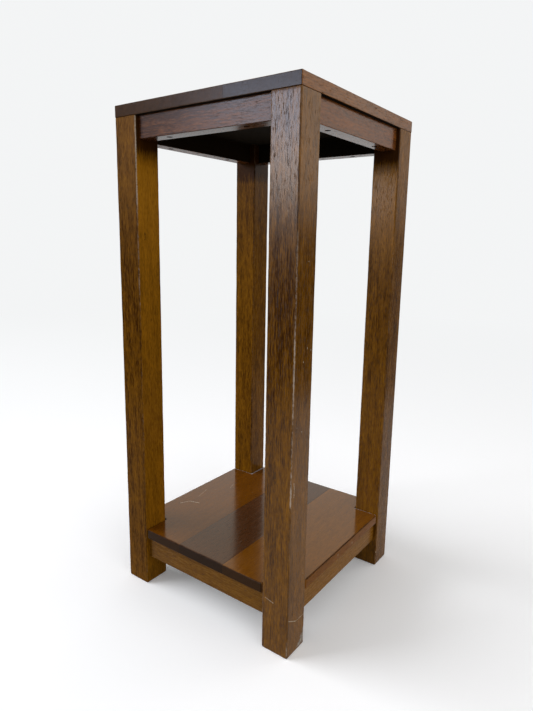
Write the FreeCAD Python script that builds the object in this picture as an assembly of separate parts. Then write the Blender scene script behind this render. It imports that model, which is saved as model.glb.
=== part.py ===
import FreeCAD, Part
import os
from collections import namedtuple

# A square pedestal of stained hardwood. Four legs stand flush under a slab top. Aprons join the legs under
# the top, rails join them near the floor, and a notched shelf lies on the rails. Sizes are in millimetres.
# The origin is on the floor at the middle of the four feet, +Z is up, -Y is the front and +X is the right.

# Overall size
width = 305.0
depth = 305.0
height = 711.0

# Legs, square in section, rounded along the arrises and round the foot
leg_side = 41.0
leg_round = 2.0
leg_head_ease = 0.5

# Top, three boards glued edge to edge, flush with the outer faces of the legs
top_thickness = 16.0
top_middle_width = 84.0
top_ease = 1.0

# Aprons under the top, set back from the outer faces of the legs
apron_height = 30.0
apron_thickness = 23.0
apron_reveal = 6.5
apron_ease = 0.8

# Shelf, three boards glued edge to edge and notched round the legs
shelf_height = 92.0
shelf_thickness = 14.0
shelf_middle_width = 84.0
shelf_reveal = 1.0
shelf_corner_round = 4.0
shelf_upper_ease = 1.6
shelf_lower_ease = 0.6
notch_gap = 0.4

# Rails that carry the shelf
rail_height = 33.5
rail_thickness = 23.0
rail_reveal = 6.5
rail_ease = 0.8

# Dowels, two in each end of each apron and rail, one above the other
dowel_diameter = 8.0
dowel_in_bar = 16.0
dowel_edge = 7.0
dowel_chamfer = 1.0
dowel_clearance = 0.05
dowel_glue_space = 1.0
dowel_land = 2.0

# Screws, two up through each apron into the top and two up through each rail into the shelf
screw_diameter = 4.0
screw_length = 30.0
screw_point = 4.0
screw_head_diameter = 7.4
screw_head_height = 2.6
screw_head_ease = 0.5
screw_recess_span = 4.2
screw_recess_width = 1.0
screw_recess_depth = 1.5
head_clearance = 0.3
shank_clearance = 0.25
thread_clearance = 0.05
top_screw_pitch = 130.0
top_screw_cover = 5.0
shelf_screw_pitch = 130.0
shelf_screw_cover = 5.0

# Levels that follow from the sizes above
top_underside = height - top_thickness
apron_underside = top_underside - apron_height
shelf_underside = shelf_height - shelf_thickness
rail_underside = shelf_underside - rail_height

UP = FreeCAD.Vector(0, 0, 1)
RIGHT = FreeCAD.Vector(1, 0, 0)
QUARTER_TURN = 90
NEAR = Part.Precision.confusion()

# Each side's turn about +Z from the front, its length between the legs and its distance from the middle
SIDES = {
    "front": (0, width - 2 * leg_side, depth / 2),
    "right": (QUARTER_TURN, depth - 2 * leg_side, width / 2),
    "back": (2 * QUARTER_TURN, width - 2 * leg_side, depth / 2),
    "left": (3 * QUARTER_TURN, depth - 2 * leg_side, width / 2),
}

# A bar is an apron or a rail, made at the front and then turned to its side
Bar = namedtuple("Bar", "length distance reveal thickness underside tall ease")


def block(low, high):
    """A square-edged block between two opposite corners."""
    size = [b - a for a, b in zip(low, high)]
    return Part.makeBox(*size, FreeCAD.Vector(*low))


def upright_edges(shape):
    """The edges of a shape that stand straight up."""
    return [e for e in shape.Edges if e.BoundBox.XLength < NEAR and e.BoundBox.YLength < NEAR]


def edges_at_level(shape, level):
    """The edges of a shape that lie in one horizontal plane."""
    flat = [e for e in shape.Edges if e.BoundBox.ZLength < NEAR]
    return [e for e in flat if abs(e.BoundBox.ZMin - level) < NEAR]


def turned(shape, angle):
    """A copy of a shape, turned about +Z."""
    copy = shape.copy()
    copy.rotate(FreeCAD.Vector(), UP, angle)
    return copy


def write(node, *solids):
    """Writes one node, as one solid or as a group of like solids."""
    shape = solids[0] if len(solids) == 1 else Part.makeCompound(solids)
    shape.exportStep(f"parts/{node}.step")


def leg_blank(side_x, side_y):
    """A leg before it is bored, at the corner given by the signs of X and Y."""
    xs = sorted((side_x * width / 2, side_x * (width / 2 - leg_side)))
    ys = sorted((side_y * depth / 2, side_y * (depth / 2 - leg_side)))
    leg = block((xs[0], ys[0], 0), (xs[1], ys[1], top_underside))
    leg = leg.makeFillet(leg_round, upright_edges(leg) + edges_at_level(leg, 0))
    return leg.makeChamfer(leg_head_ease, edges_at_level(leg, top_underside))


def bar_middle(bar):
    """Where the middle of a front bar's thickness lies along Y."""
    return -bar.distance + bar.reveal + bar.thickness / 2


def bar_blank(bar):
    """A front bar before it is bored, with its two lower arrises eased."""
    face = -bar.distance + bar.reveal
    low = (-bar.length / 2, face, bar.underside)
    high = (bar.length / 2, face + bar.thickness, bar.underside + bar.tall)
    blank = block(low, high)
    lower = [e for e in edges_at_level(blank, bar.underside) if e.BoundBox.YLength < NEAR]
    return blank.makeFillet(bar.ease, lower)


def dowels_and_bores(bar):
    """The four dowels of a front bar and the bores that take them."""
    in_leg = leg_side - bar.reveal - bar.thickness / 2 - dowel_diameter / 2 - dowel_land
    dowel_length = in_leg + dowel_in_bar
    bore_length = dowel_length + 2 * dowel_glue_space
    dowels = []
    bores = []
    for start in (-bar.length / 2 - in_leg, bar.length / 2 - dowel_in_bar):
        for level in (bar.underside + dowel_edge, bar.underside + bar.tall - dowel_edge):
            place = FreeCAD.Vector(start, bar_middle(bar), level)
            dowel = Part.makeCylinder(dowel_diameter / 2, dowel_length, place, RIGHT)
            dowels.append(dowel.makeChamfer(dowel_chamfer, [e for e in dowel.Edges if e.Closed]))
            mouth = place - RIGHT * dowel_glue_space
            bores.append(Part.makeCylinder(dowel_diameter / 2 + dowel_clearance, bore_length, mouth, RIGHT))
    return dowels, bores


def screw_blank():
    """A wood screw that points up, with the seat of its head at the origin."""
    radius = screw_diameter / 2
    shank = Part.makeCylinder(radius, screw_length - screw_point)
    point = Part.makeCone(radius, 0, screw_point, UP * (screw_length - screw_point))
    head = Part.makeCylinder(screw_head_diameter / 2, screw_head_height, UP * -screw_head_height)
    head = head.makeFillet(screw_head_ease, edges_at_level(head, -screw_head_height))
    reach = screw_recess_span / 2
    half = screw_recess_width / 2
    slot = block((-reach, -half, -screw_head_height), (reach, half, screw_recess_depth - screw_head_height))
    head = head.cut([slot, turned(slot, QUARTER_TURN)])
    return head.fuse([shank, point]).removeSplitter()


def screws_and_bores(bar, slab_thickness, cover, pitch):
    """The two screws of a front bar, their counterbored holes, and their pilot holes in the slab above."""
    bite = slab_thickness - cover
    slab_face = bar.underside + bar.tall
    seat = slab_face + bite - screw_length
    screws = []
    holes = []
    pilots = []
    for along in (-pitch / 2, pitch / 2):
        axis = FreeCAD.Vector(along, bar_middle(bar), 0)
        screw = screw_blank()
        screw.translate(axis + UP * seat)
        screws.append(screw)
        head_radius = screw_head_diameter / 2 + head_clearance
        counterbore = Part.makeCylinder(head_radius, seat - bar.underside, axis + UP * bar.underside)
        shank_radius = screw_diameter / 2 + shank_clearance
        holes.append(counterbore.fuse(Part.makeCylinder(shank_radius, slab_face - seat, axis + UP * seat)))
        pilots.append(Part.makeCylinder(screw_diameter / 2 + thread_clearance, bite, axis + UP * slab_face))
    return screws, holes, pilots


def top_slab():
    """The top before it is bored and parted into boards, with every outer edge eased."""
    slab = block((-width / 2, -depth / 2, top_underside), (width / 2, depth / 2, height))
    return slab.makeFillet(top_ease, slab.Edges)


def shelf_slab():
    """The shelf before it is bored and parted into boards, notched round each leg, with its edges eased."""
    reach_x = width / 2 - shelf_reveal
    reach_y = depth / 2 - shelf_reveal
    notch_x = width / 2 - leg_side - notch_gap
    notch_y = depth / 2 - leg_side - notch_gap
    deep = block((-notch_x, -reach_y, shelf_underside), (notch_x, reach_y, shelf_height))
    wide = block((-reach_x, -notch_y, shelf_underside), (reach_x, notch_y, shelf_height))
    slab = deep.fuse(wide).removeSplitter()
    corners = []
    for edge in upright_edges(slab):
        if abs(edge.CenterOfMass.x) > notch_x + NEAR or abs(edge.CenterOfMass.y) > notch_y + NEAR:
            corners.append(edge)
    slab = slab.makeFillet(shelf_corner_round, corners)
    slab = slab.makeFillet(shelf_upper_ease, edges_at_level(slab, shelf_height))
    return slab.makeFillet(shelf_lower_ease, edges_at_level(slab, shelf_underside))


def write_boards(slab_name, slab, middle_width):
    """Parts a slab along its two glue lines and writes its boards."""
    box = slab.BoundBox
    lines = (box.XMin, -middle_width / 2, middle_width / 2, box.XMax)
    for place, start, end in zip(("left", "middle", "right"), lines, lines[1:]):
        board = slab.common(block((start, box.YMin, box.ZMin), (end, box.YMax, box.ZMax)))
        write(f"{slab_name}_{place}_board", *board.Solids)


os.makedirs("parts", exist_ok=True)
fasteners = {"apron_dowels": [], "rail_dowels": [], "top_screws": [], "shelf_screws": []}
pilot_holes = {"top": [], "shelf": []}
leg_bores = []

for side, (angle, length, distance) in SIDES.items():
    apron = Bar(length, distance, apron_reveal, apron_thickness, apron_underside, apron_height, apron_ease)
    rail = Bar(length, distance, rail_reveal, rail_thickness, rail_underside, rail_height, rail_ease)
    for kind, bar, slab_name, slab_thickness, cover, pitch in (
        ("apron", apron, "top", top_thickness, top_screw_cover, top_screw_pitch),
        ("rail", rail, "shelf", shelf_thickness, shelf_screw_cover, shelf_screw_pitch),
    ):
        dowels, bores = dowels_and_bores(bar)
        screws, holes, pilots = screws_and_bores(bar, slab_thickness, cover, pitch)
        write(f"{side}_{kind}", turned(bar_blank(bar).cut(bores + holes), angle))
        leg_bores += [turned(bore, angle) for bore in bores]
        fasteners[f"{kind}_dowels"] += [turned(dowel, angle) for dowel in dowels]
        fasteners[f"{slab_name}_screws"] += [turned(screw, angle) for screw in screws]
        pilot_holes[slab_name] += [turned(pilot, angle) for pilot in pilots]

for depth_name, side_y in (("front", -1), ("back", 1)):
    for width_name, side_x in (("left", -1), ("right", 1)):
        write(f"{depth_name}_{width_name}_leg", leg_blank(side_x, side_y).cut(leg_bores))

write_boards("top", top_slab().cut(pilot_holes["top"]), top_middle_width)
write_boards("shelf", shelf_slab().cut(pilot_holes["shelf"]), shelf_middle_width)

for node, solids in fasteners.items():
    write(node, *solids)
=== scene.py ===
import math
from collections import namedtuple

import bmesh
import bpy
from mathutils import Matrix, Quaternion, Vector, noise


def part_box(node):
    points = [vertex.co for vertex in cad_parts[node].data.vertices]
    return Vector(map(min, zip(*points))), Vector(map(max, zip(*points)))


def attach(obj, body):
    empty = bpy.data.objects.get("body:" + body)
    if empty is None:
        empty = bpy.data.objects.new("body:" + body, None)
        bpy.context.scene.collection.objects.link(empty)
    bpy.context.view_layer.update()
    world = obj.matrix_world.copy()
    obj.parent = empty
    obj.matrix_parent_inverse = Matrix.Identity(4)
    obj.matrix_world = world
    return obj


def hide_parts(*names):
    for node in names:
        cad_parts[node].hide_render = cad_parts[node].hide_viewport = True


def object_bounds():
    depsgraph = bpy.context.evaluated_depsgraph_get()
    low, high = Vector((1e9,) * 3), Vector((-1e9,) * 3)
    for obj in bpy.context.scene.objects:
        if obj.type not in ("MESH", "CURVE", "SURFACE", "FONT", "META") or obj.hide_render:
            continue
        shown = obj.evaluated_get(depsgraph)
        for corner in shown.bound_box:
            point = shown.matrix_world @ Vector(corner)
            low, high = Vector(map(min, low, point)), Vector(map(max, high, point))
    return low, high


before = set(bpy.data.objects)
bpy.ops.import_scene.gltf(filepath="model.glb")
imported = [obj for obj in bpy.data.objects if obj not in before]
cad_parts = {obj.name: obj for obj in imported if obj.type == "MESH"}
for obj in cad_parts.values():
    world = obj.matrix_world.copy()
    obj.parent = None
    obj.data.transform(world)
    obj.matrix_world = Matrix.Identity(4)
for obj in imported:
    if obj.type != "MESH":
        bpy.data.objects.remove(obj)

cad_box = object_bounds()


# Legs: four straight posts of solid hardwood, planed square, sanded round along the arrises and the foot,
# stained brown and lacquered. Handling has rubbed the finish thin along the arrises, most of all on the near
# arris of the front right leg, and the stain and the shine differ from face to face. Some faces also carry
# painted light at the head and painted shade in the corner under the apron, and the front left leg a painted
# highlight along its upper inner arris.
MM = 0.001
X, Y, Z = range(3)
STRAIGHT = 0.999
CLOSE = 0.01 * MM


def blank(node):
    """A square-edged block as large as a CAD node."""
    low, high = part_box(node)
    bm = bmesh.new()
    place = Matrix.Translation((low + high) / 2) @ Matrix.Diagonal((*(high - low), 1))
    bmesh.ops.create_cube(bm, size=1.0, matrix=place)
    return bm


def edges_along(bm, axis):
    """The edges that run along one axis."""
    return [e for e in bm.edges if abs((e.verts[1].co - e.verts[0].co).normalized()[axis]) > STRAIGHT]


def edges_at(bm, axis, place):
    """The edges that lie in the plane at one place on an axis."""
    return [e for e in bm.edges if all(abs(v.co[axis] - place) < CLOSE for v in e.verts)]


FLAT = 1


def ease(bm, edges, width, segments):
    """Sands arrises round, or flat where the segments are FLAT."""
    bmesh.ops.bevel(bm, geom=edges, offset=width, affect="EDGES", segments=segments, profile=0.5, material=-1)


WEAR_SPACING = 4.0 * MM


def divide(bm, axis):
    """Divides the long edges along one axis, so that wear can be worked into them."""
    longest = [e for e in edges_along(bm, axis) if e.calc_length() > 2 * WEAR_SPACING]
    cuts = round(max(e.calc_length() for e in longest) / WEAR_SPACING) - 1
    bmesh.ops.subdivide_edges(bm, edges=longest, cuts=cuts, use_grid_fill=True)


def distance_to(point, start, end):
    """How far a point lies from the line between two points."""
    run = end - start
    along = min(max((point - start).dot(run) / run.length_squared, 0.0), 1.0)
    return (point - start - run * along).length


# A mark is a line of hard wear between two places: how far it reaches from the line, how deep it is pressed
# in and how bare it is rubbed. On the front left leg the pale rub also stands for a painted highlight.
Mark = namedtuple("Mark", "start end reach press rub")
# A corner of the mesh lies on an arris where no face round it is larger than this.
ARRIS_AREA = 7.0 * MM * MM
# Wear is patchy: how many broad and fine patches go to a metre, and how much of the wear is even and patchy.
BROAD_PATCHES = 28
FINE_PATCHES = 150
FINE_SHARE = 0.5
EVEN_WEAR = 0.35
PATCHY_WEAR = 0.7
EVEN_MARK = 0.75
PATCHY_MARK = 0.6


def wear(bm, seed, press, rub, marks=()):
    """Rubs the arrises down by up to press, more along the marks, and notes how bare they are."""
    bare = bm.verts.layers.float.new("rubbed")
    bm.normal_update()
    for v in bm.verts:
        if max(f.calc_area() for f in v.link_faces) > ARRIS_AREA:
            continue
        patchy = noise.noise(v.co * BROAD_PATCHES + Vector((seed, 0, 0)))
        patchy += FINE_SHARE * noise.noise(v.co * FINE_PATCHES + Vector((0, seed, 0)))
        amount = min(max(EVEN_WEAR + PATCHY_WEAR * patchy, 0.0), 1.0)
        depth = press * amount
        v[bare] = rub * amount
        for mark in marks:
            near = max(1 - distance_to(v.co, mark.start, mark.end) / mark.reach, 0.0)
            depth = max(depth, mark.press * near * near * (3 - 2 * near))
            v[bare] = max(v[bare], min(mark.rub * near * (EVEN_MARK + PATCHY_MARK * patchy), 1.0))
        v.co -= v.normal * depth


def put(tree, kind, inputs=(), **settings):
    """Adds a shader node. An input given as a socket is linked, and any other is set."""
    node = tree.nodes.new("ShaderNode" + kind)
    for name, value in settings.items():
        setattr(node, name, value)
    for key, value in dict(inputs).items():
        if isinstance(value, bpy.types.NodeSocket):
            tree.links.new(value, node.inputs[key])
        else:
            node.inputs[key].default_value = value
    return node


def group(name, inputs, outputs):
    """A new shader node group with named inputs and outputs, and its two end nodes."""
    tree = bpy.data.node_groups.new(name, "ShaderNodeTree")
    for socket, kind in inputs.items():
        tree.interface.new_socket(socket, in_out="INPUT", socket_type="NodeSocket" + kind)
    for socket, kind in outputs.items():
        tree.interface.new_socket(socket, in_out="OUTPUT", socket_type="NodeSocket" + kind)
    return tree, tree.nodes.new("NodeGroupInput").outputs, tree.nodes.new("NodeGroupOutput").inputs


def maths(tree, operation, *values):
    """One step of arithmetic."""
    return put(tree, "Math", dict(enumerate(values)), operation=operation).outputs["Value"]


def vectors(tree, operation, a, b, output="Vector"):
    """One step of vector arithmetic."""
    return put(tree, "VectorMath", {0: a, 1: b}, operation=operation).outputs[output]


def span(tree, value, low, high, to_low=0.0, to_high=1.0):
    """A value spread from one range to another, and held within it."""
    inputs = {"Value": value, "From Min": low, "From Max": high, "To Min": to_low, "To Max": to_high}
    return put(tree, "MapRange", inputs).outputs["Result"]


# The colour sockets of a Mix node, which share their names with its other sockets.
MIX_A, MIX_B, MIX_RESULT = 6, 7, 2


def mixed(tree, share, a, b):
    """Colour a turned into colour b by a share."""
    node = put(tree, "Mix", {"Factor": share, MIX_A: a, MIX_B: b}, data_type="RGBA")
    return node.outputs[MIX_RESULT]


def fibre_noise(tree, place, across, along, detail, roughness=0.5):
    """Noise drawn out along the grain. across and along are the size of its features."""
    stretch = put(tree, "Mapping", {"Vector": place, "Scale": (1 / across, 1 / across, 1 / along)})
    inputs = {"Vector": stretch.outputs["Vector"], "Scale": 1.0, "Detail": detail, "Roughness": roughness}
    return put(tree, "TexNoise", inputs).outputs["Fac"]


# Grain: layers of stain, growth lines that bend, and open pores, all along the piece's length. A layer is
# the size of its features across and along the grain, in millimetres, its detail and its strength.
Layer = namedtuple("Layer", "across along detail strength")
BROAD_BANDS = Layer(24, 180, 2.0, 0.17)
CLOUDS = Layer(11, 38, 2.0, 0.13)
FINE_STREAKS = Layer(1.6, 26, 3.0, 0.40)
SHORT_FLECKS = Layer(1.3, 7, 2.0, 0.36)
LAYER_SPAN = (0.34, 0.66)
LEAST_SHADE = -0.05
LINE_SPACING = (7 * MM, 11 * MM, 190 * MM)
LINE_PATTERN = {"Scale": 0.32, "Distortion": 5.0, "Detail": 3.0, "Detail Scale": 0.7}
LINE_STRENGTH = 0.12
PORE_WIDTH = 0.7 * MM
PORE_LENGTH = 8 * MM
PORE_DETAIL = 1.0
PORE_SPAN = (0.58, 0.69)
grain, given, gives = group("stained_grain", {"Place": "Vector"}, {"Shade": "Float", "Pores": "Float"})
shade = LEAST_SHADE
for layer in (BROAD_BANDS, CLOUDS, FINE_STREAKS, SHORT_FLECKS):
    fibres = fibre_noise(grain, given["Place"], layer.across * MM, layer.along * MM, layer.detail)
    shade = maths(grain, "MULTIPLY_ADD", span(grain, fibres, *LAYER_SPAN), layer.strength, shade)
bend = put(grain, "Mapping", {"Vector": given["Place"], "Scale": [1 / gap for gap in LINE_SPACING]})
lines = put(grain, "TexWave", {"Vector": bend.outputs["Vector"], **LINE_PATTERN},
            wave_type="BANDS", bands_direction="DIAGONAL").outputs["Fac"]
grain.links.new(maths(grain, "MULTIPLY_ADD", lines, LINE_STRENGTH, shade), gives["Shade"])
pores = fibre_noise(grain, given["Place"], PORE_WIDTH, PORE_LENGTH, PORE_DETAIL)
grain.links.new(span(grain, pores, *PORE_SPAN), gives["Pores"])

# Rubbed finish: bare patches along the arrises, broken up by the grain unless they are rubbed through.
PATCH_WIDTH = 1.8 * MM
PATCH_LENGTH = 4 * MM
PATCH_DETAIL = 2.0
PATCH_ROUGHNESS = 0.6
PATCH_SPAN = (0.42, 0.6)
rubbing, given, gives = group("rubbed_finish", {"Place": "Vector"}, {"Bare": "Float"})
amount = put(rubbing, "Attribute", attribute_name="rubbed").outputs["Fac"]
patches = fibre_noise(rubbing, given["Place"], PATCH_WIDTH, PATCH_LENGTH, PATCH_DETAIL, PATCH_ROUGHNESS)
broken = span(rubbing, patches, *PATCH_SPAN)
through = maths(rubbing, "MULTIPLY", amount, amount)
whole = maths(rubbing, "MULTIPLY_ADD", maths(rubbing, "SUBTRACT", 1.0, broken), through, broken)
rubbing.links.new(maths(rubbing, "MULTIPLY", amount, whole), gives["Bare"])

# Scratch: a thin line from Start to End, ragged along its length.
RAGGED_SIZE = 2 * MM
RAGGED_DETAIL = 2.0
RAGGED_SPAN = (0.35, 0.6)
RAGGED_WIDTHS = (0.1, 1.2)
SCRATCH_EDGE = (0.5, 1.0)
scratching, given, gives = group(
    "scratch", {"Place": "Vector", "Start": "Vector", "End": "Vector", "Width": "Float"}, {"Mask": "Float"})
run = vectors(scratching, "SUBTRACT", given["End"], given["Start"])
reach = vectors(scratching, "SUBTRACT", given["Place"], given["Start"])
along = maths(scratching, "DIVIDE", vectors(scratching, "DOT_PRODUCT", reach, run, "Value"),
              vectors(scratching, "DOT_PRODUCT", run, run, "Value"))
along.node.use_clamp = True
nearest = put(scratching, "VectorMath", {0: run, "Scale": along}, operation="SCALE").outputs["Vector"]
breaks = fibre_noise(scratching, given["Place"], RAGGED_SIZE, RAGGED_SIZE, RAGGED_DETAIL)
ragged = span(scratching, breaks, *RAGGED_SPAN, *RAGGED_WIDTHS)
away = maths(scratching, "DIVIDE", vectors(scratching, "DISTANCE", reach, nearest, "Value"),
             maths(scratching, "MULTIPLY", given["Width"], ragged))
scratching.links.new(span(scratching, away, *SCRATCH_EDGE, 1.0, 0.0), gives["Mask"])

# A finish is how strongly the lacquer shines, its tint, how rough it is over dark and over light wood, the
# colour that shows where it is rubbed off, how much of the grain's relief it lets through, and how much
# rougher it is in the pores.
Finish = namedtuple("Finish", "strength tint smooth rough rubbed relief pores", defaults=[0.4])
CLEAR = (1, 1, 1, 1)
RUBBED_PALE = (0.50, 0.41, 0.33, 1)
SATIN = Finish(0.13, CLEAR, 0.18, 0.26, RUBBED_PALE, 0.25)
DULL = Finish(0.065, CLEAR, 0.22, 0.30, RUBBED_PALE, 0.25)
FADED = Finish(0.028, CLEAR, 0.24, 0.32, RUBBED_PALE, 0.25)
# A side is how much lighter one side of a piece is: all over, and how much more at its foot, at its
# head, and in the corner under the apron. All over this is partly stain that took differently on that
# face and partly painted light. At the foot it only makes the side lighter or darker towards the bottom.
# At the head it is painted light, and in the corner under the apron it is painted shade. A span is the
# two heights that each changes between.
Side = namedtuple("Side", "all_over foot head corner")
EVEN = Side(0, 0, 0, 0)
FOOT_SPAN = (0.24, 0.42)
HEAD_LIGHT_SPAN = (0.48, 0.60)
CORNER_SHADE_SPAN = (0.63, 0.66)
RIGHT, FRONT, UP = (1, 0, 0), (0, -1, 0), (0, 0, 1)
# How squarely a face has to look one way to take that side's stain, or along the grain to show end grain.
SIDE_SPAN = (0.65, 0.92)
END_SPAN = (0.6, 0.9)
# A line mark is a line between two places, with its half width, its colour and how strongly it covers the
# wood. Most are blemishes, such as knots, scratches, specks and chips; some are painted highlights.
LineMark = namedtuple("LineMark", "start end width colour share")
QUARTER_TURN = math.radians(90)
TURN_TO_GRAIN = {X: (0, QUARTER_TURN, 0), Y: (QUARTER_TURN, 0, 0), Z: (0, 0, 0)}
PORE_BROWN = (0.012, 0.005, 0.001, 1)
PORE_DEPTH = 0.55
PORE_RELIEF = -0.6
RELIEF_DEPTH = 0.08 * MM
BARE_ROUGHNESS = 0.3


def stained_wood(name, axis, shift, dark, light, finish, end_dark=0.5, tone=0.0, side_tones=(EVEN, EVEN),
                 line_marks=()):
    """Stained, lacquered wood with its grain along one axis. shift picks the part of the grain that shows.
    tone is how much lighter the stain is, and side_tones how much more on the right and on the front, with
    painted light at the head and painted shade in the corner under the apron."""
    material = bpy.data.materials.new(name)
    material.use_nodes = True
    tree = material.node_tree
    shader = tree.nodes["Principled BSDF"]
    where = put(tree, "TexCoord").outputs
    place = put(tree, "Mapping", {"Vector": where["Object"], "Rotation": TURN_TO_GRAIN[axis],
                                  "Location": (shift, -shift, shift)}).outputs["Vector"]
    wood = put(tree, "Group", node_tree=grain)
    worn = put(tree, "Group", node_tree=rubbing)
    for part in (wood, worn):
        tree.links.new(place, part.inputs["Place"])
    level = vectors(tree, "DOT_PRODUCT", where["Object"], UP, "Value")
    shade = maths(tree, "ADD", wood.outputs["Shade"], tone)
    for way, side in zip((RIGHT, FRONT), side_tones):
        # The head term adds painted light, and the corner term adds painted shade.
        lighter = maths(tree, "ADD", side.all_over, span(tree, level, *FOOT_SPAN, side.foot, 0.0))
        lighter = maths(tree, "ADD", lighter, span(tree, level, *HEAD_LIGHT_SPAN, 0.0, side.head))
        lighter = maths(tree, "ADD", lighter, span(tree, level, *CORNER_SHADE_SPAN, 0.0, side.corner))
        looks = span(tree, vectors(tree, "DOT_PRODUCT", where["Normal"], way, "Value"), *SIDE_SPAN)
        shade = maths(tree, "MULTIPLY_ADD", looks, lighter, shade)
    colour = mixed(tree, maths(tree, "MAXIMUM", shade, 0.0), dark, light)
    colour.node.clamp_factor = False
    colour = mixed(tree, maths(tree, "MULTIPLY", wood.outputs["Pores"], PORE_DEPTH), colour, PORE_BROWN)
    endways = [float(i == axis) for i in range(3)]
    facing = maths(tree, "ABSOLUTE", vectors(tree, "DOT_PRODUCT", where["Normal"], endways, "Value"))
    end_grain = span(tree, facing, *END_SPAN)
    colour = mixed(tree, maths(tree, "MULTIPLY", end_grain, end_dark), colour, PORE_BROWN)
    bare = worn.outputs["Bare"]
    colour = mixed(tree, bare, colour, finish.rubbed)
    for line_mark in line_marks:
        mark = put(tree, "Group", node_tree=scratching)
        tree.links.new(where["Object"], mark.inputs["Place"])
        for key, value in (("Start", line_mark.start), ("End", line_mark.end), ("Width", line_mark.width)):
            mark.inputs[key].default_value = value
        cover = maths(tree, "MULTIPLY", mark.outputs["Mask"], line_mark.share)
        colour = mixed(tree, cover, colour, line_mark.colour)
        bare = maths(tree, "MAXIMUM", bare, cover)
    tree.links.new(colour, shader.inputs["Base Color"])
    shader.inputs["Specular IOR Level"].default_value = finish.strength
    shader.inputs["Specular Tint"].default_value = finish.tint
    sheen = span(tree, wood.outputs["Shade"], 0.0, 1.0, finish.smooth, finish.rough)
    sheen = maths(tree, "MULTIPLY_ADD", wood.outputs["Pores"], finish.pores, sheen)
    tree.links.new(maths(tree, "MULTIPLY_ADD", bare, BARE_ROUGHNESS, sheen), shader.inputs["Roughness"])
    relief = maths(tree, "MULTIPLY_ADD", wood.outputs["Pores"], PORE_RELIEF, wood.outputs["Shade"])
    bump = put(tree, "Bump", {"Height": relief, "Strength": finish.relief, "Distance": RELIEF_DEPTH})
    tree.links.new(bump.outputs["Normal"], shader.inputs["Normal"])
    return material


SHARP = math.radians(50)
LARGE_FACE_WEIGHT = 100
# How closely a face has to look one way to get the coat for it.
NEARLY = 0.7
CLOSELY = 0.9


def make_piece(bm, node, material, coats=()):
    """Finishes a mesh as the piece that stands for a CAD node. A coat is (material, directions, closeness):
    faces that look nearly enough in one of those directions get it instead."""
    mesh = bpy.data.meshes.new(node + "_wood")
    mesh.materials.append(material)
    bm.normal_update()
    for coat, directions, closeness in coats:
        mesh.materials.append(coat)
        for face in bm.faces:
            if any(face.normal.dot(Vector(way).normalized()) > closeness for way in directions):
                face.material_index = len(mesh.materials) - 1
    bm.to_mesh(mesh)
    bm.free()
    mesh.shade_smooth()
    mesh.set_sharp_from_angle(angle=SHARP)
    piece = bpy.data.objects.new(mesh.name, mesh)
    bpy.context.scene.collection.objects.link(piece)
    even = piece.modifiers.new("even_faces", "WEIGHTED_NORMAL")
    even.weight = LARGE_FACE_WEIGHT
    even.keep_sharp = True
    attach(piece, "root")
    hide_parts(node)


SCRATCH_PALE = (0.46, 0.39, 0.29, 1)
SPECK_HEIGHT = 1.2
SPECK_SHARE = 0.75
KNOT_SHARE = 0.6
CHIP_GREY = (0.25, 0.24, 0.22, 1)
CHIP_SHARE = 0.75


def at(x, y, z):
    """A place given in millimetres."""
    return Vector((x, y, z)) * MM


def rubbed(x, y, bottom, top, reach, press, rub):
    """A hard-worn stretch of an upright arris, in millimetres."""
    return Mark(at(x, y, bottom), at(x, y, top), reach * MM, press * MM, rub)


def scratch(start, end, width=0.6, share=0.9):
    """A pale scratch through the finish, in millimetres."""
    return LineMark(at(*start), at(*end), width * MM, SCRATCH_PALE, share)


def upright(x, y, z, width, tall, colour, share):
    """A blemish that stands upright round its middle, in millimetres."""
    return LineMark(at(x, y, z - tall / 2), at(x, y, z + tall / 2), width * MM, colour, share)


def speck(x, y, z, width=0.8):
    """A pale speck of bare wood, in millimetres."""
    return upright(x, y, z, width, SPECK_HEIGHT, SCRATCH_PALE, SPECK_SHARE)


def knot(x, y, z, width, tall):
    """A small dark knot, drawn out along the grain, in millimetres."""
    return upright(x, y, z, width, tall, PORE_BROWN, KNOT_SHARE)


def chip(x, y, z, width, tall):
    """A greyed chip in the wood, in millimetres."""
    return upright(x, y, z, width, tall, CHIP_GREY, CHIP_SHARE)


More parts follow.
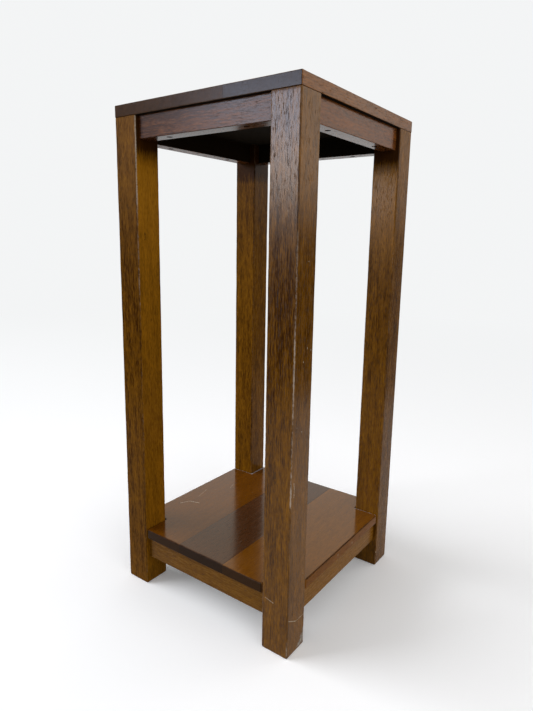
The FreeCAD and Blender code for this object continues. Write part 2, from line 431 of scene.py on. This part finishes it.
FACE = cad_box[1][X] / MM
INNER_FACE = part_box("front_right_leg")[0].x / MM
NEAR_MARKS = [
    rubbed(FACE, -FACE, 420, 545, 1.6, 0.3, 1.3),
    rubbed(FACE, -FACE, 330, 420, 1.6, 0.3, 2.4),
    rubbed(FACE, -FACE, 255, 330, 1.6, 0.3, 1.3),
    rubbed(FACE, -FACE, 215, 255, 2.3, 0.5, 1.7),
    rubbed(FACE, -FACE, 2, 24, 2.6, 0.5, 0.7),
    rubbed(FACE, -113, 3, 14, 5, 0.6, 0.9),
]
NEAR_BLEMISHES = [
    scratch((116.5, -FACE, 75.9), (129.4, -FACE, 72.8)),
    scratch((FACE, -150.0, 54.9), (FACE, -133.4, 45.6)),
    scratch((FACE, -133.4, 45.6), (FACE, -112.0, 44.6), 0.45),
    scratch((FACE, -127.8, 5.0), (FACE, -118.0, 7.0), 1.6, 0.6),
    scratch((FACE, -146.5, 243), (FACE, -145.0, 233), 0.5),
    scratch((FACE, -145.0, 233), (FACE, -145.8, 224), 0.5),
    speck(FACE, -151.7, 395, 1.2),
    speck(FACE, -133.2, 392.5),
    speck(FACE, -125.1, 408),
    speck(FACE, -116.9, 404.5),
    speck(FACE, -148.5, 284, 0.9),
    speck(FACE, -127.8, 510, 0.6),
    speck(FACE, -143.0, 313, 0.6),
    speck(FACE, -132.0, 305, 0.6),
    speck(FACE, -118.6, 107, 0.7),
    chip(FACE, -117, 10, 5.0, 6),
    chip(FACE, -124, 6, 3.6, 3),
    chip(FACE, -114, 19, 3.0, 8),
    speck(FACE, -119, 9, 1.8),
    speck(FACE, -115, 13, 1.6),
    speck(FACE, -125, 6, 1.4),
    knot(128, -FACE, 249, 2.2, 7),
    knot(127, -FACE, 466, 1.4, 16),
    knot(129, -FACE, 430, 1.2, 14),
]
# The pale rub along the upper inner arris is partly rubbed finish and partly a painted highlight.
LEFT_WEAR_AND_HIGHLIGHT = [
    rubbed(-INNER_FACE, -FACE, 560, 694, 1.8, 0.2, 1.8),
    rubbed(-INNER_FACE, -FACE, 440, 560, 1.6, 0.2, 1.0),
]
LEFT_BLEMISHES_AND_HIGHLIGHT = [
    knot(-131, -FACE, 576, 2.0, 5),
    knot(-INNER_FACE, -140, 536, 1.6, 9),
    # A painted highlight: a pale line along the upper inner arris, over the rubbed finish.
    scratch((-112.1, -151.9, 590), (-112.1, -151.9, 694), 0.8, 0.8),
]
RIGHT_BLEMISHES = [speck(FACE, 151.5, 651), speck(FACE, 113, 24, 0.9)]
LEG_ROUND = 2.0 * MM
LEG_ROUND_SEGMENTS = 4
LEG_HEAD_EASE = 0.5 * MM
LEG_PRESS = 0.35 * MM
LEG_RUB = 0.14
FOOT_REACH = 3.5 * MM
FOOT_PRESS = 0.7 * MM
FOOT_RUB = 0.25
LEG_DARK = (0.035, 0.011, 0.0005, 1)
LEG_LIGHT = (0.236, 0.095, 0.004, 1)
LEG_END_DARK = 0.5
LEG_TONE = -0.2
NEAR_SATIN = Finish(0.15, CLEAR, 0.18, 0.26, RUBBED_PALE, 0.35)
# The front faces of the back legs have a finish of their own.
FRONT_FINISHES = {
    "back_left_leg": Finish(0.02, CLEAR, 0.28, 0.36, RUBBED_PALE, 0.25),
    "back_right_leg": Finish(0.095, CLEAR, 0.20, 0.28, RUBBED_PALE, 0.35),
}
# In the sides below, the head tones are painted light, and on the back left leg's front painted shade; the
# corner tones are painted shade under the aprons.
for leg, seed, finish, right_side, front_side, marks, line_marks in (
    ("front_left_leg", 1.3, FADED, Side(0.56, -0.08, 0.70, -2.0), Side(-0.12, 0.12, 0.22, 0),
     LEFT_WEAR_AND_HIGHLIGHT, LEFT_BLEMISHES_AND_HIGHLIGHT),
    ("front_right_leg", 5.1, NEAR_SATIN, Side(0.02, 0.20, 0.18, 0), Side(-0.14, 0.26, 0.05, 0),
     NEAR_MARKS, NEAR_BLEMISHES),
    ("back_left_leg", 8.7, DULL, Side(0.14, 0, 0, -1.0), Side(0.13, -0.02, -0.10, -1.0),
     [], []),
    ("back_right_leg", 12.9, DULL, Side(-0.02, 0.10, 0.24, 0), Side(0.08, 0.08, 0.78, -1.7),
     [], RIGHT_BLEMISHES),
):
    low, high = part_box(leg)
    bm = blank(leg)
    ease(bm, edges_along(bm, Z) + edges_at(bm, Z, low.z), LEG_ROUND, LEG_ROUND_SEGMENTS)
    ease(bm, edges_at(bm, Z, high.z), LEG_HEAD_EASE, FLAT)
    divide(bm, Z)
    plan = ((low.x, low.y), (high.x, low.y), (high.x, high.y), (low.x, high.y))
    corners = [Vector((x, y, low.z)) for x, y in plan]
    foot = [Mark(a, b, FOOT_REACH, FOOT_PRESS, FOOT_RUB) for a, b in zip(corners, corners[1:] + corners[:1])]
    wear(bm, seed, LEG_PRESS, LEG_RUB, foot + marks)
    stain = (Z, seed, LEG_DARK, LEG_LIGHT)
    tones = (LEG_END_DARK, LEG_TONE, (right_side, front_side), line_marks)
    coats = []
    if leg in FRONT_FINISHES:
        coats.append((stained_wood(leg + "_front", *stain, FRONT_FINISHES[leg], *tones), [FRONT], NEARLY))
    make_piece(bm, leg, stained_wood(leg + "_stain", *stain, finish, *tones), coats)


# Aprons: four bars between the legs under the top, of the same hardwood, dowelled and glued into the legs.
# Their lower arrises are eased. Two counterbored holes from below take the screws that hold the top.
BAR_EASE = 0.8 * MM
BAR_EASE_SEGMENTS = 3
BAR_PRESS = 0.2 * MM
BAR_RUB = 0.2
HOLE_RADIUS = 4.0 * MM
HOLE_SIDES = 32
HOLE_SPACING = 130 * MM
APRON_HOLE_DEPTH = 11 * MM
DRILL_OVERSHOOT = 2 * MM
SIDES = {"front": X, "right": Y, "back": X, "left": Y}


def linked(name, bm):
    """A new object with a mesh, in the scene."""
    mesh = bpy.data.meshes.new(name)
    bm.to_mesh(mesh)
    work = bpy.data.objects.new(name, mesh)
    bpy.context.scene.collection.objects.link(work)
    return work


def bore(bm, mouths, depth):
    """Bores flat-bottomed holes upwards from their mouths."""
    drill = bmesh.new()
    for mouth in mouths:
        middle = Matrix.Translation(mouth + Vector((0, 0, (depth - DRILL_OVERSHOOT) / 2)))
        bmesh.ops.create_cone(drill, cap_ends=True, segments=HOLE_SIDES,
                              radius1=HOLE_RADIUS, radius2=HOLE_RADIUS,
                              depth=depth + DRILL_OVERSHOOT, matrix=middle)
    bar, bit = linked("bar", bm), linked("bit", drill)
    drill.free()
    cut = bar.modifiers.new("bore", "BOOLEAN")
    cut.object = bit
    cut.operation = "DIFFERENCE"
    bored = bpy.data.meshes.new_from_object(bar.evaluated_get(bpy.context.evaluated_depsgraph_get()))
    bm.clear()
    bm.from_mesh(bored)
    for mesh in (bored, bar.data, bit.data):
        bpy.data.meshes.remove(mesh)


UNLACQUERED = Finish(0.03, CLEAR, 0.8, 0.9, RUBBED_PALE, 0.4)
INNER_GRAIN = 71.3
# The inside of the frame is coloured near black as painted shade: the inner faces of the aprons and rails,
# and the undersides of the shelf and the top.
INNER_SHADE_DARK = (0.004, 0.003, 0.002, 1)
INNER_SHADE_LIGHT = (0.012, 0.008, 0.004, 1)
painted_inner_shade = stained_wood("painted_inner_shade", X, INNER_GRAIN, INNER_SHADE_DARK, INNER_SHADE_LIGHT, UNLACQUERED)


def make_bar(bar, axis, seed, hole_depth, dark, light, finish, tone):
    """An apron or rail: eased below, worn, bored for its two screws, and left unlacquered inside, where its
    near-black colour is painted shade.
    """
    low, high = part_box(bar)
    bm = blank(bar)
    lower = [e for e in edges_along(bm, axis) if e in edges_at(bm, Z, low.z)]
    ease(bm, lower, BAR_EASE, BAR_EASE_SEGMENTS)
    divide(bm, axis)
    wear(bm, seed, BAR_PRESS, BAR_RUB)
    along = Vector([HOLE_SPACING / 2 * (i == axis) for i in range(3)])
    under = Vector(((low.x + high.x) / 2, (low.y + high.y) / 2, low.z))
    bore(bm, (under - along, under + along), hole_depth)
    inner = -(low + high) / 2
    inner.z = inner[axis] = 0
    wood = stained_wood(bar + "_stain", axis, seed, dark, light, finish, tone=tone)
    make_piece(bm, bar, wood, [(painted_inner_shade, [inner], NEARLY)])


APRON_GRAIN = 20.3
APRON_GRAIN_STEP = 2.7
APRON_DARK = (0.042, 0.013, 0.004, 1)
APRON_LIGHT = (0.245, 0.078, 0.014, 1)
APRON_SATIN = Finish(0.105, CLEAR, 0.20, 0.28, RUBBED_PALE, 0.2, 0.15)
APRON_BRIGHT = Finish(0.14, CLEAR, 0.18, 0.26, RUBBED_PALE, 0.25, 0.15)
APRON_FINISHES = {
    "front": (APRON_SATIN, -0.38),
    "right": (APRON_BRIGHT, -0.05),
    "back": (SATIN, -0.2),
    "left": (DULL, -0.15),
}
for place, (side, axis) in enumerate(SIDES.items()):
    seed = APRON_GRAIN + APRON_GRAIN_STEP * place
    finish, tone = APRON_FINISHES[side]
    make_bar(side + "_apron", axis, seed, APRON_HOLE_DEPTH, APRON_DARK, APRON_LIGHT, finish, tone)


# Rails: four bars of the same hardwood between the legs near the floor, made and fixed as the aprons are. The
# shelf is screwed down to them from below.
RAIL_HOLE_DEPTH = 12.5 * MM
RAIL_GRAIN = 33.1
RAIL_GRAIN_STEP = 2.3
RAIL_DARK = (0.050, 0.018, 0.001, 1)
RAIL_LIGHT = (0.170, 0.072, 0.008, 1)
# The right rail's much lighter tone is partly its wood and partly a painted sheen.
RAIL_TONES = {"front": 0.15, "right": 0.75, "back": 0.1, "left": 0.1}
for place, (side, axis) in enumerate(SIDES.items()):
    seed = RAIL_GRAIN + RAIL_GRAIN_STEP * place
    make_bar(side + "_rail", axis, seed, RAIL_HOLE_DEPTH, RAIL_DARK, RAIL_LIGHT, DULL, RAIL_TONES[side])


# Shelf: three hardwood boards of different tone, glued edge to edge and notched round the legs. Its upper
# arrises are well rounded, also in the notches, and its face keeps a brighter gloss than the legs. It lies
# on the rails and is screwed to them from below.
NOTCH_GAP = 0.4 * MM
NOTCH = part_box("front_right_leg")[0].x - NOTCH_GAP
GLUE_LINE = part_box("shelf_middle_board")[1].x
GLUE_LINE_EASE = 0.08 * MM
UPPER_SEGMENTS = 4
LOWER_SEGMENTS = 2


def notched_blank(node):
    """A board as large as a CAD node, with a notch for a leg at each of its two outer corners."""
    low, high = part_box(node)
    if abs(low.x) < NOTCH and abs(high.x) < NOTCH:
        return blank(node)
    outer, inner = (low.x, high.x) if abs(low.x) > abs(high.x) else (high.x, low.x)
    notch = math.copysign(NOTCH, outer)
    outline = [(inner, low.y), (inner, high.y), (notch, high.y), (notch, NOTCH),
               (outer, NOTCH), (outer, -NOTCH), (notch, -NOTCH), (notch, low.y)]
    bm = bmesh.new()
    face = bm.faces.new([bm.verts.new((x, y, low.z)) for x, y in outline])
    raised = bmesh.ops.extrude_face_region(bm, geom=[face])["geom"]
    upper = [v for v in raised if isinstance(v, bmesh.types.BMVert)]
    bmesh.ops.translate(bm, vec=(0, 0, high.z - low.z), verts=upper)
    bmesh.ops.recalc_face_normals(bm, faces=bm.faces)
    return bm


def on_glue_line(edge):
    """Whether an edge lies in one of the glued joints between boards."""
    return any(all(abs(v.co.x - line) < CLOSE for v in edge.verts) for line in (-GLUE_LINE, GLUE_LINE))


def ease_board(bm, node, upper, lower):
    """Eases a board's upper and lower arrises, and takes a hair off the arrises of its glued joints."""
    low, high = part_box(node)
    ease(bm, [e for e in edges_at(bm, Z, high.z) if not on_glue_line(e)], upper, UPPER_SEGMENTS)
    ease(bm, [e for e in edges_at(bm, Z, low.z) if not on_glue_line(e)], lower, LOWER_SEGMENTS)
    ease(bm, [e for e in bm.edges if on_glue_line(e)], GLUE_LINE_EASE, FLAT)
    for axis in (X, Y):
        divide(bm, axis)


SHELF_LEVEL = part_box("shelf_middle_board")[1].z / MM
# Painted highlights: pale lines on the shelf's rounded arris round the back legs' notches.
HIGHLIGHT_DEPTH = 0.3
HIGHLIGHT_LEVEL = SHELF_LEVEL - HIGHLIGHT_DEPTH
PAINTED_HIGHLIGHT_GREY = (0.36, 0.36, 0.38, 1)
PAINTED_HIGHLIGHT_SHARE = 0.8


def notch_highlight(start, end, width=1.6):
    """A painted highlight: a pale line along the shelf's rounded arris where it meets a leg, in millimetres.
    """
    return LineMark(at(*start, HIGHLIGHT_LEVEL), at(*end, HIGHLIGHT_LEVEL), width * MM, PAINTED_HIGHLIGHT_GREY, PAINTED_HIGHLIGHT_SHARE)


LEFT_SCRATCHES = [
    scratch((-132, -58, SHELF_LEVEL), (-124, -43, SHELF_LEVEL), 0.8, 0.8),
    scratch((-124, -43, SHELF_LEVEL), (-107, -38.5, SHELF_LEVEL), 0.8, 0.85),
    scratch((-124, -22, SHELF_LEVEL), (-132, 9, SHELF_LEVEL), 0.5, 0.4),
    scratch((-102, 38, SHELF_LEVEL), (-108, 54, SHELF_LEVEL), 0.5, 0.4),
]
LEFT_HIGHLIGHTS = [notch_highlight((-150, 109.8), (-111, 109.8)), notch_highlight((-109, 111), (-109, 146), 3.2)]
RIGHT_HIGHLIGHTS = [notch_highlight((112, 109.8), (150, 109.8))]
EDGE_NICKS = [speck(151.5, -20.5, 84, 1.4), speck(151.5, 23.6, 83, 1.6)]
TONGUE_ROUND = 4.0 * MM
TONGUE_SEGMENTS = 6
SHELF_UPPER_EASE = 1.6 * MM
SHELF_LOWER_EASE = 0.6 * MM
SHELF_PRESS = 0.3 * MM
SHELF_RUB = 0.25
RUBBED_BROWN = (0.10, 0.06, 0.04, 1)
WARM_TINT = (1.0, 0.75, 0.4, 1)
GLOSSY = Finish(0.5, WARM_TINT, 0.10, 0.18, RUBBED_BROWN, 0.04, 0.12)
EDGE_FINISH = Finish(0.06, CLEAR, 0.25, 0.35, RUBBED_BROWN, 0.25)
EDGE_END_DARK = 0.9
ARRIS_DARK = (0.012, 0.005, 0.001, 1)
DOWN = (0, 0, -1)
OUTER_EDGES = ((1, 0, 0), (-1, 0, 0), (0, 1, 0), (0, -1, 0))
UPPER_ARRISES = ((1, 0, 1), (0, -1, 1))
for board, seed, dark, light, scratches_and_highlights, nicks, slot in (
    ("shelf_left_board", 41.7, (0.085, 0.026, 0.001, 1), (0.150, 0.048, 0.002, 1),
     LEFT_SCRATCHES + LEFT_HIGHLIGHTS, [], "shelf_light_wood"),
    ("shelf_middle_board", 44.9, (0.044, 0.015, 0.005, 1), (0.080, 0.029, 0.010, 1),
     [], [], "shelf_dark_wood"),
    ("shelf_right_board", 47.3, (0.112, 0.037, 0.001, 1), (0.195, 0.067, 0.003, 1),
     RIGHT_HIGHLIGHTS, EDGE_NICKS, "shelf_warm_wood"),
):
    bm = notched_blank(board)
    tongue = [e for e in edges_along(bm, Z) if not on_glue_line(e)
              and max(abs(e.verts[0].co.x), abs(e.verts[0].co.y)) > NOTCH + CLOSE]
    if tongue:
        ease(bm, tongue, TONGUE_ROUND, TONGUE_SEGMENTS)
    ease_board(bm, board, SHELF_UPPER_EASE, SHELF_LOWER_EASE)
    wear(bm, seed, SHELF_PRESS, SHELF_RUB)
    wood = stained_wood(board + "_stain", Y, seed, dark, light, GLOSSY, line_marks=scratches_and_highlights)
    edge = stained_wood(board + "_edge", Y, seed, dark, light, EDGE_FINISH, EDGE_END_DARK, line_marks=nicks)
    arris = stained_wood(board + "_arris", Y, seed, ARRIS_DARK, dark, EDGE_FINISH, EDGE_END_DARK)
    # The underside is coloured near black as painted shade.
    coats = [(edge, OUTER_EDGES, NEARLY), (arris, UPPER_ARRISES, CLOSELY), (painted_inner_shade, [DOWN], NEARLY)]
    make_piece(bm, board, wood, coats)


# Top: three boards of the same hardwood glued edge to edge, flush with the legs all round, with finely eased
# edges. It is screwed down from below through the aprons.
TOP_EASE = 1.0 * MM
TOP_CORNER_SEGMENTS = 3
TOP_PRESS = 0.25 * MM
TOP_RUB = 0.25
BLUISH_TINT = (0.85, 0.93, 1.0, 1)
DULL_END = Finish(0.058, CLEAR, 0.20, 0.26, RUBBED_PALE, 0.25, 0.2)
BLUISH_END = Finish(0.087, BLUISH_TINT, 0.20, 0.26, RUBBED_PALE, 0.25, 0.2)
BOARD_ENDS = ((0, 1, 0), (0, -1, 0))
for board, seed, dark, light, end_finish, end_dark in (
    ("top_left_board", 52.9, (0.046, 0.018, 0.004, 1), (0.190, 0.068, 0.011, 1), DULL_END, 0.76),
    ("top_middle_board", 56.1, (0.058, 0.022, 0.004, 1), (0.215, 0.076, 0.012, 1), DULL_END, 0.80),
    ("top_right_board", 59.7, (0.068, 0.026, 0.006, 1), (0.262, 0.094, 0.015, 1), BLUISH_END, 0.92),
):
    bm = blank(board)
    corners = [e for e in edges_along(bm, Z) if not on_glue_line(e)]
    if corners:
        ease(bm, corners, TOP_EASE, TOP_CORNER_SEGMENTS)
    ease_board(bm, board, TOP_EASE, TOP_EASE)
    wear(bm, seed, TOP_PRESS, TOP_RUB)
    wood = stained_wood(board + "_stain", Y, seed, dark, light, SATIN)
    ends = stained_wood(board + "_end", Y, seed, dark, light, end_finish, end_dark)
    # The underside is coloured near black as painted shade.
    make_piece(bm, board, wood, [(ends, BOARD_ENDS, NEARLY), (painted_inner_shade, [DOWN], NEARLY)])


# Dowels: round pegs of bare pale hardwood with chamfered ends. They are glued into the ends of the aprons
# and rails and into the legs, out of sight.
PEG_GRAIN = 63.1
PEG_DARK = (0.34, 0.21, 0.11, 1)
PEG_LIGHT = (0.62, 0.44, 0.26, 1)
peg_wood = stained_wood("bare_peg_wood", X, PEG_GRAIN, PEG_DARK, PEG_LIGHT, UNLACQUERED)
for pegs in ("apron_dowels", "rail_dowels"):
    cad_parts[pegs].material_slots[0].material = peg_wood


# Screws: cross-head wood screws of zinc-plated steel, deep in the counterbored holes of the aprons and rails.
# They hold the top and the shelf down.
ZINC_DULL = (0.38, 0.39, 0.41, 1)
ZINC_BRIGHT = (0.60, 0.61, 0.62, 1)
ZINC_ROUGHNESS = (0.45, 0.28)
SPANGLE_SIZE = 0.8 * MM
SPANGLE_DETAIL = 3.0
SPANGLE_ROUGHNESS = 0.6
SPANGLE_SPAN = (0.35, 0.65)
zinc = bpy.data.materials.new("zinc_plate")
zinc.use_nodes = True
tree = zinc.node_tree
shader = tree.nodes["Principled BSDF"]
place = put(tree, "TexCoord").outputs["Object"]
spangle = fibre_noise(tree, place, SPANGLE_SIZE, SPANGLE_SIZE, SPANGLE_DETAIL, SPANGLE_ROUGHNESS)
colour = mixed(tree, span(tree, spangle, *SPANGLE_SPAN), ZINC_DULL, ZINC_BRIGHT)
tree.links.new(colour, shader.inputs["Base Color"])
tree.links.new(span(tree, spangle, *SPANGLE_SPAN, *ZINC_ROUGHNESS), shader.inputs["Roughness"])
shader.inputs["Metallic"].default_value = 1.0
for screws in ("top_screws", "shelf_screws"):
    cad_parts[screws].material_slots[0].material = zinc


# Stage: a plain white floor that runs out into a pale room, with a wide soft lamp at the left and a weaker
# one at the right. A window at the front left, with blue sky in its upper half, and a wall at the back
# right shine in the lacquer, above two dark screens.
WHITE = (0.90, 0.91, 0.915, 1)
ROOM_LIGHT = (0.50, 0.495, 0.49, 1)
FLOOR_RADIUS = 12.0
FLOOR_SIDES = 96
PAPER_WHITE = (0.975, 0.985, 1.0)
# Near the stand the floor shows as lit paper with a faint glow. It fades into the room between two values of
# one over the distance from the stand.
PAPER_GLOW = 0.10
FADE_SPAN = (0.3, 1.7)
# The share of its light that the floor throws back at the stand, from near it to further away.
BOUNCE_SPAN = (0.35, 1.1)
BOUNCE = (0.30, 0.20)


def shows(tree):
    """1 for what the eye sees, directly, mirrored or through glass, and 0 for light on the stand."""
    path = put(tree, "LightPath").outputs
    seen = maths(tree, "MAXIMUM", path["Is Camera Ray"], path["Is Glossy Ray"])
    return maths(tree, "MAXIMUM", seen, path["Is Transmission Ray"])


bm = bmesh.new()
bmesh.ops.create_circle(bm, cap_ends=True, segments=FLOOR_SIDES, radius=FLOOR_RADIUS)
floor = linked("floor", bm)
bm.free()
paper = bpy.data.materials.new("white_floor")
paper.use_nodes = True
tree = paper.node_tree
shader = tree.nodes["Principled BSDF"]
seen = shows(tree)
away = vectors(tree, "DISTANCE", put(tree, "TexCoord").outputs["Object"], (0, 0, 0), "Value")
in_light = span(tree, away, *BOUNCE_SPAN, *BOUNCE)
nearness = maths(tree, "DIVIDE", 1.0, away)
to_the_eye = span(tree, nearness, *FADE_SPAN)
lit = maths(tree, "MULTIPLY_ADD", seen, maths(tree, "SUBTRACT", to_the_eye, in_light), in_light)
grey = put(tree, "CombineXYZ", {"X": lit, "Y": lit, "Z": lit}).outputs["Vector"]
tree.links.new(vectors(tree, "MULTIPLY", PAPER_WHITE, grey), shader.inputs["Base Color"])
shader.inputs["Roughness"].default_value = 1.0
shader.inputs["Specular IOR Level"].default_value = 0.0
shader.inputs["Emission Color"].default_value = WHITE
glow = maths(tree, "MULTIPLY", seen, span(tree, nearness, *FADE_SPAN, 1.0, PAPER_GLOW))
tree.links.new(glow, shader.inputs["Emission Strength"])
floor.data.materials.append(paper)

bpy.context.scene.view_settings.view_transform = "Standard"
world = bpy.data.worlds.new("room")
bpy.context.scene.world = world
world.use_nodes = True
tree = world.node_tree
tree.links.new(mixed(tree, shows(tree), ROOM_LIGHT, WHITE), tree.nodes["Background"].inputs["Color"])

LAMP_AIM = Vector((0, 0, 0.55))


def outwards(azimuth, elevation):
    """The direction from the stand at an azimuth to the left of the front and an elevation, in degrees."""
    turn, rise = math.radians(azimuth), math.radians(elevation)
    return Vector((-math.sin(turn) * math.cos(rise), -math.cos(turn) * math.cos(rise), math.sin(rise)))


def soft_lamp(name, azimuth, elevation, width, height, radiance, colour, distance=2.5):
    """A flat lamp that faces the stand. Its width and height are the angles, in degrees, that it fills."""
    lamp = bpy.data.objects.new(name, bpy.data.lights.new(name, "AREA"))
    bpy.context.scene.collection.objects.link(lamp)
    out = outwards(azimuth, elevation)
    lamp.location = LAMP_AIM + distance * out
    lamp.rotation_euler = out.to_track_quat("Z", "Y").to_euler()
    lamp.data.shape = "RECTANGLE"
    lamp.data.size = 2 * distance * math.tan(math.radians(width / 2))
    lamp.data.size_y = 2 * distance * math.tan(math.radians(height / 2))
    lamp.data.energy = radiance * math.pi * lamp.data.size * lamp.data.size_y
    lamp.data.color = colour
    return lamp


left_lamp = soft_lamp("left_lamp", 60, 19, 45, 36, 6.35, (0.98, 0.99, 1.02), 5.0)
left_lamp.visible_glossy = False
soft_lamp("right_lamp", -75, 12, 60, 40, 1.5, (1.0, 0.99, 0.98))
window = soft_lamp("window", 27.5, 7.4, 20, 5.2, 21.5, (1.08, 0.98, 0.90), 4.0)
sky = soft_lamp("sky", 29.5, 15.5, 23, 11, 17.5, (0.87, 0.96, 1.20), 4.0)
window.visible_diffuse = sky.visible_diffuse = False
soft_lamp("far_wall", -140, 16, 24, 22, 1.6, (1.0, 0.87, 0.74))

SCREEN_DISTANCE = 1.15
SCREEN_HEIGHT = 0.58
FELT_DARK = (0.03, 0.025, 0.02, 1)
felt = bpy.data.materials.new("dark_felt")
felt.use_nodes = True
shader = felt.node_tree.nodes["Principled BSDF"]
shader.inputs["Base Color"].default_value = FELT_DARK
shader.inputs["Specular IOR Level"].default_value = 0.0


def dark_screen(name, azimuth, width):
    """A dark screen on the floor that faces the stand and shows only in its lacquer."""
    out = outwards(azimuth, 0)
    facing = out.to_track_quat("Z", "Y").to_matrix().to_4x4()
    size = Matrix.Diagonal((width, SCREEN_HEIGHT, 1, 1))
    place = Matrix.Translation(SCREEN_DISTANCE * out) @ facing @ size
    bm = bmesh.new()
    bmesh.ops.create_grid(bm, x_segments=1, y_segments=1, size=0.5, matrix=place)
    bmesh.ops.translate(bm, vec=(0, 0, SCREEN_HEIGHT / 2), verts=bm.verts)
    screen = linked(name, bm)
    bm.free()
    screen.data.materials.append(felt)
    screen.visible_camera = screen.visible_diffuse = False
    screen.visible_shadow = screen.visible_transmission = False


dark_screen("left_screen", 38, 1.5)
dark_screen("right_screen", -138, 0.8)


# Camera: three quarters of the way up the stand, looking at it across its near corner. Its place, turn and
# lens were worked out from the stand's edges in the photograph.
EYE = Vector((0.486830, -0.668386, 0.533722))
LOOKED_AT = Vector((0.001692, 0.0, 0.374392))
ROLL = math.radians(0.988)
LENS = 27.530
SHIFT = (-0.00039, -0.01479)
camera = bpy.data.objects.new("camera", bpy.data.cameras.new("camera"))
bpy.context.scene.collection.objects.link(camera)
bpy.context.scene.camera = camera
camera.location = EYE
turn = (LOOKED_AT - EYE).to_track_quat("-Z", "Y") @ Quaternion((0, 0, 1), ROLL)
camera.rotation_euler = turn.to_euler()
camera.data.lens = LENS
camera.data.shift_x, camera.data.shift_y = SHIFT
